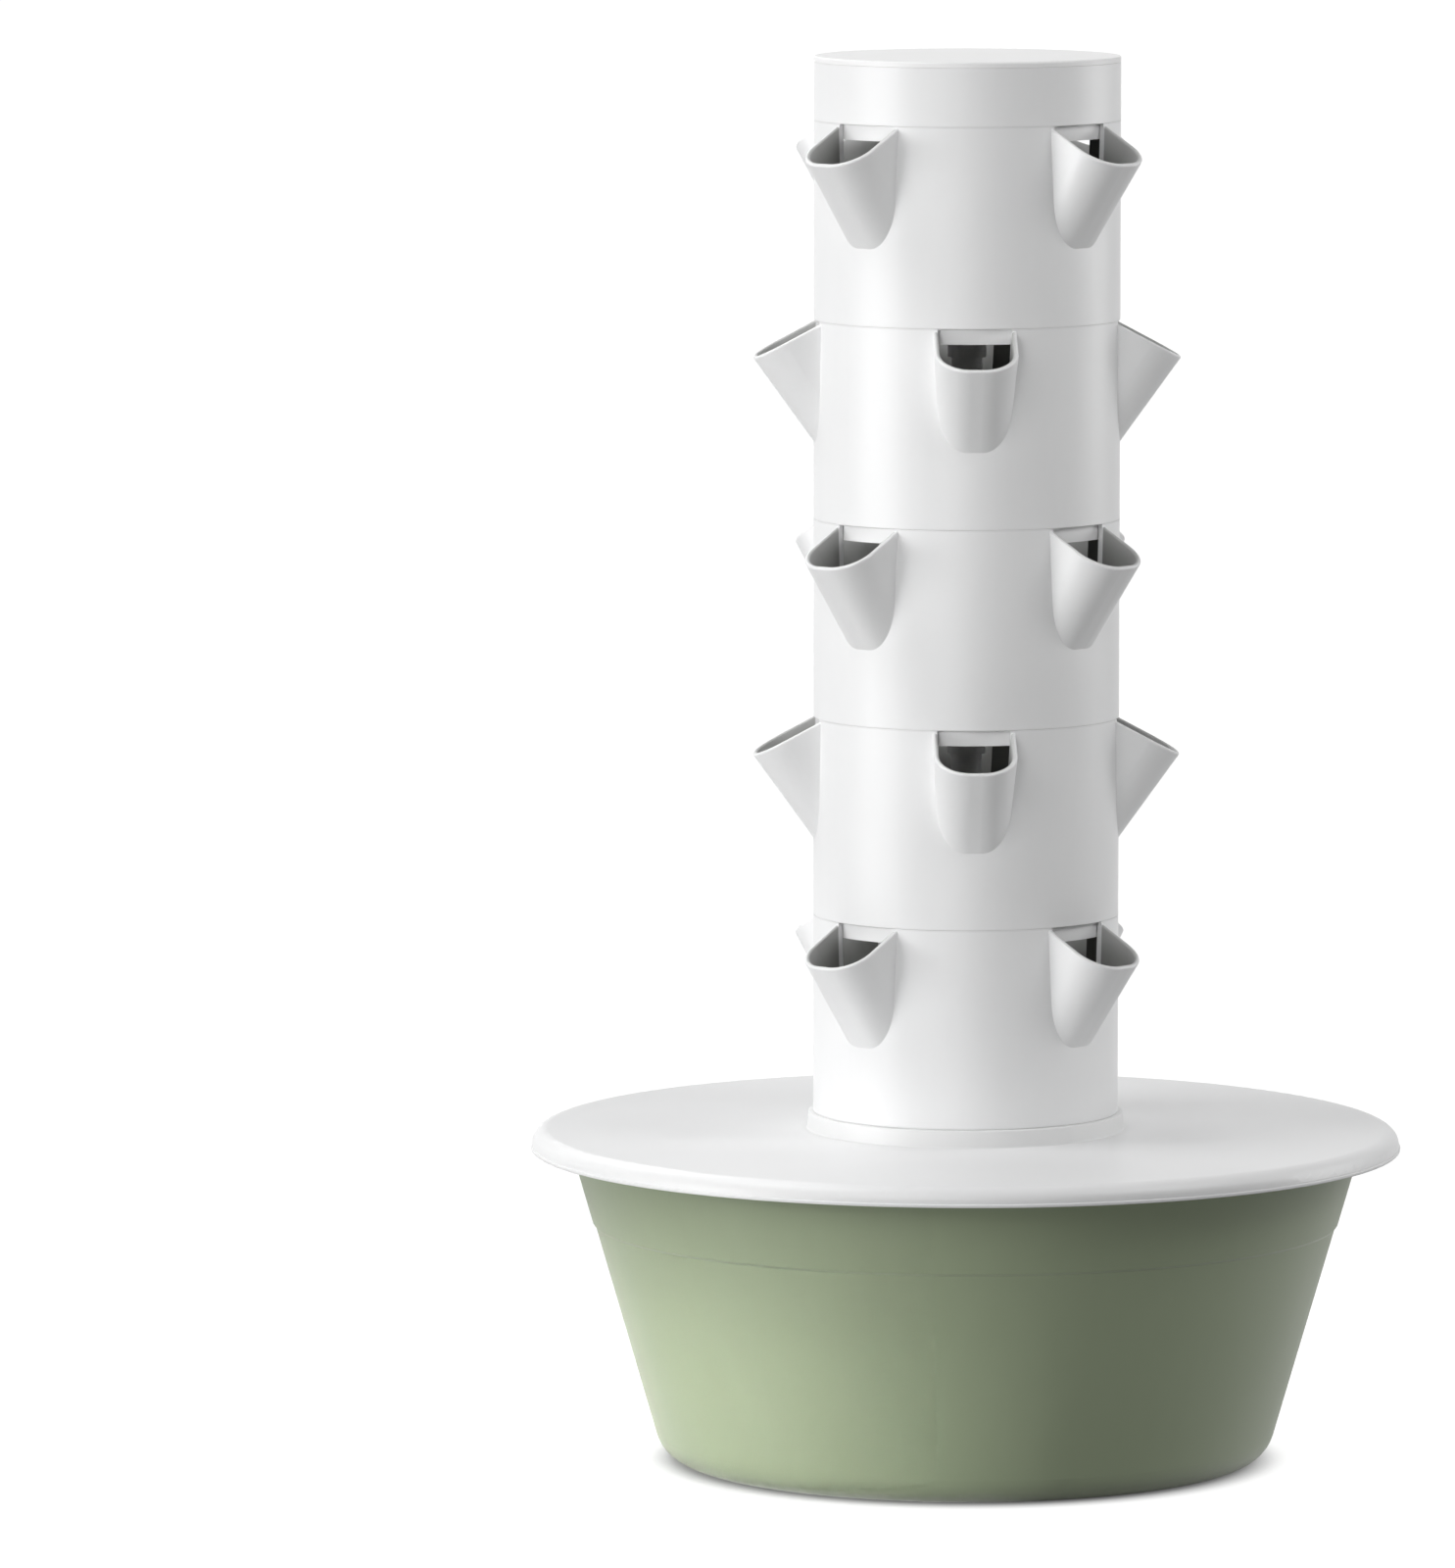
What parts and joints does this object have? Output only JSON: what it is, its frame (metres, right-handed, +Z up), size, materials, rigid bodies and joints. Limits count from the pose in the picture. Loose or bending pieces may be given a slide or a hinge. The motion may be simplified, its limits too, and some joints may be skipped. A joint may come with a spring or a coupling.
{
  "type": "hydroponic tower",
  "caption": "Free-standing hydroponic tower: a round column of stacked tiers with scooped planting pockets on the lid of a tapered round water tub.",
  "frame": {"origin": "on the column's axis, on the floor under the tub", "axes": "+Z up along the column, -Y towards the front of the picture, +X to the right of it"},
  "size_m": [0.5709, 0.5708, 0.9225],
  "materials": {
    "shell_white": "satin",
    "tub_green": "satin",
    "riser_white": "matte",
    "pump_black": "matte",
    "dial_grey": "matte",
    "rubber_black": "matte",
    "pin_steel": "brushed",
    "shaft_ceramic": "ground",
    "ferrite": "sintered"
  },
  "bodies": {
    "tub": {"reservoir_basin": "tub_green", "pump_housing": "pump_black", "pump_volute": "pump_black", "pump_shaft": "shaft_ceramic", "pump_bushes": "rubber_black", "pump_strainer": "pump_black", "pump_suction_cups": "rubber_black", "pump_cable_gland": "rubber_black", "riser_foot_pipe": "riser_white", "riser_couplers": "riser_white", "riser_pipe_1": "riser_white", "riser_pipe_2": "riser_white", "riser_pipe_3": "riser_white", "riser_pipe_4": "riser_white", "riser_pipe_5": "riser_white"},
    "lid": {"reservoir_lid": "shell_white", "cable_grommet": "rubber_black", "filler_hinge_pin": "pin_steel"},
    "flap": {"filler_flap": "shell_white", "filler_seal": "rubber_black"},
    "tier_5": {"tier_5": "shell_white"},
    "tier_4": {"tier_4": "shell_white"},
    "tier_3": {"tier_3": "shell_white"},
    "tier_2": {"tier_2": "shell_white"},
    "tier_1": {"tier_1": "shell_white"},
    "header": {"header_ring": "shell_white", "drip_tray": "shell_white", "spray_dome": "shell_white"},
    "cover": {"top_cover": "shell_white"},
    "rotor": {"pump_impeller": "dial_grey", "pump_magnet": "ferrite"},
    "dial": {"pump_flow_dial": "dial_grey"}
  },
  "joints": [
    {"name": "lid_lift", "type": "slide", "parent": "tub", "child": "lid", "axis": [0, 0, 1], "range_m": [0, 0.25]},
    {"name": "filler_flap_hinge", "type": "hinge", "parent": "lid", "child": "flap", "pos_m": [0, 0.14215, 0.226], "axis": [1, 0, 0], "range_deg": [0, 100]},
    {"name": "tier_5_turn", "type": "hinge", "parent": "lid", "child": "tier_5", "pos_m": [0, 0, 0.2305], "axis": [0, 0, 1], "continuous": true},
    {"name": "tier_4_turn", "type": "hinge", "parent": "tier_5", "child": "tier_4", "pos_m": [0, 0, 0.3605], "axis": [0, 0, 1], "continuous": true},
    {"name": "tier_3_turn", "type": "hinge", "parent": "tier_4", "child": "tier_3", "pos_m": [0, 0, 0.4905], "axis": [0, 0, 1], "continuous": true},
    {"name": "tier_2_turn", "type": "hinge", "parent": "tier_3", "child": "tier_2", "pos_m": [0, 0, 0.6205], "axis": [0, 0, 1], "continuous": true},
    {"name": "tier_1_turn", "type": "hinge", "parent": "tier_2", "child": "tier_1", "pos_m": [0, 0, 0.7505], "axis": [0, 0, 1], "continuous": true},
    {"name": "header_turn", "type": "hinge", "parent": "tier_1", "child": "header", "pos_m": [0, 0, 0.8805], "axis": [0, 0, 1], "continuous": true},
    {"name": "cover_lift", "type": "slide", "parent": "header", "child": "cover", "axis": [0, 0, 1], "range_m": [0, 0.06]},
    {"name": "impeller_spin", "type": "hinge", "parent": "tub", "child": "rotor", "pos_m": [0, -0.006, 0.035], "axis": [1, 0, 0], "continuous": true},
    {"name": "flow_dial_turn", "type": "hinge", "parent": "tub", "child": "dial", "pos_m": [-0.042, 0, 0.037], "axis": [1, 0, 0], "range_deg": [0, 60]}
  ]
}
